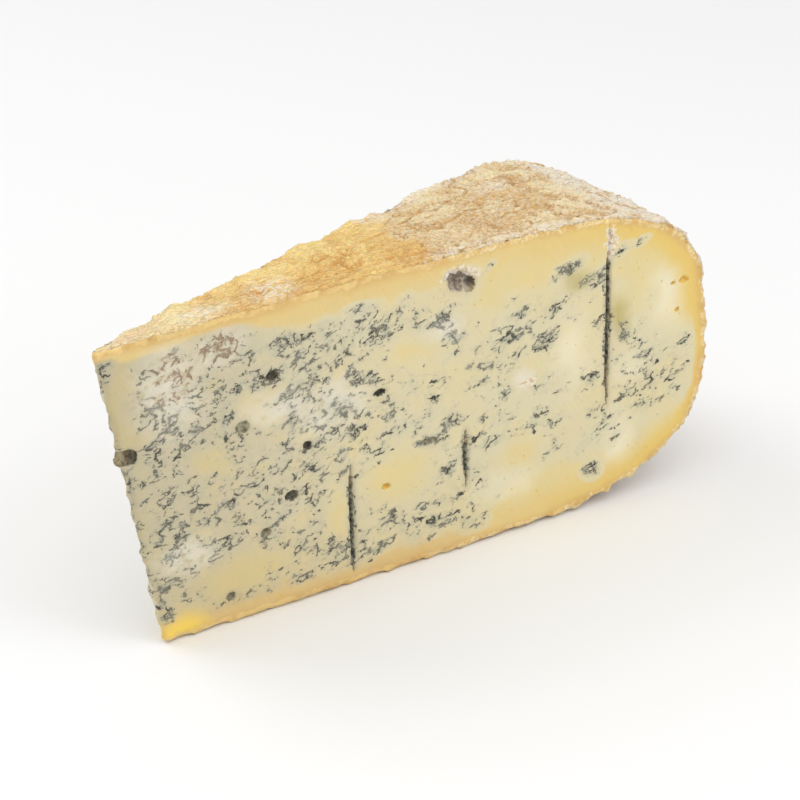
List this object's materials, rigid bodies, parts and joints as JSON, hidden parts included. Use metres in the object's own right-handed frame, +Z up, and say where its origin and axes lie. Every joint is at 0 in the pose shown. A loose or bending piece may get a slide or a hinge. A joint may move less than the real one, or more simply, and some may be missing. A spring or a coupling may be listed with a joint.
{
  "type": "blue cheese wedge",
  "caption": "Wedge of blue-veined cheese cut from a low round wheel, with a thin tip, a rounded rinded heel, needle slits and mould pockets.",
  "frame": {"origin": "bottom centre of the wedge's bounding box, on the surface that it stands on", "axes": "+X from the thin tip to the rinded heel along the middle of the wedge, +Y towards the hidden cut face, +Z up along the wheel's axis"},
  "size_m": [0.158, 0.0474, 0.0785],
  "materials": {
    "cheese": "satin, waxy cut paste with a dry mottled rind"
  },
  "bodies": {
    "root": {"cheese_wedge": "cheese"}
  },
  "joints": []
}
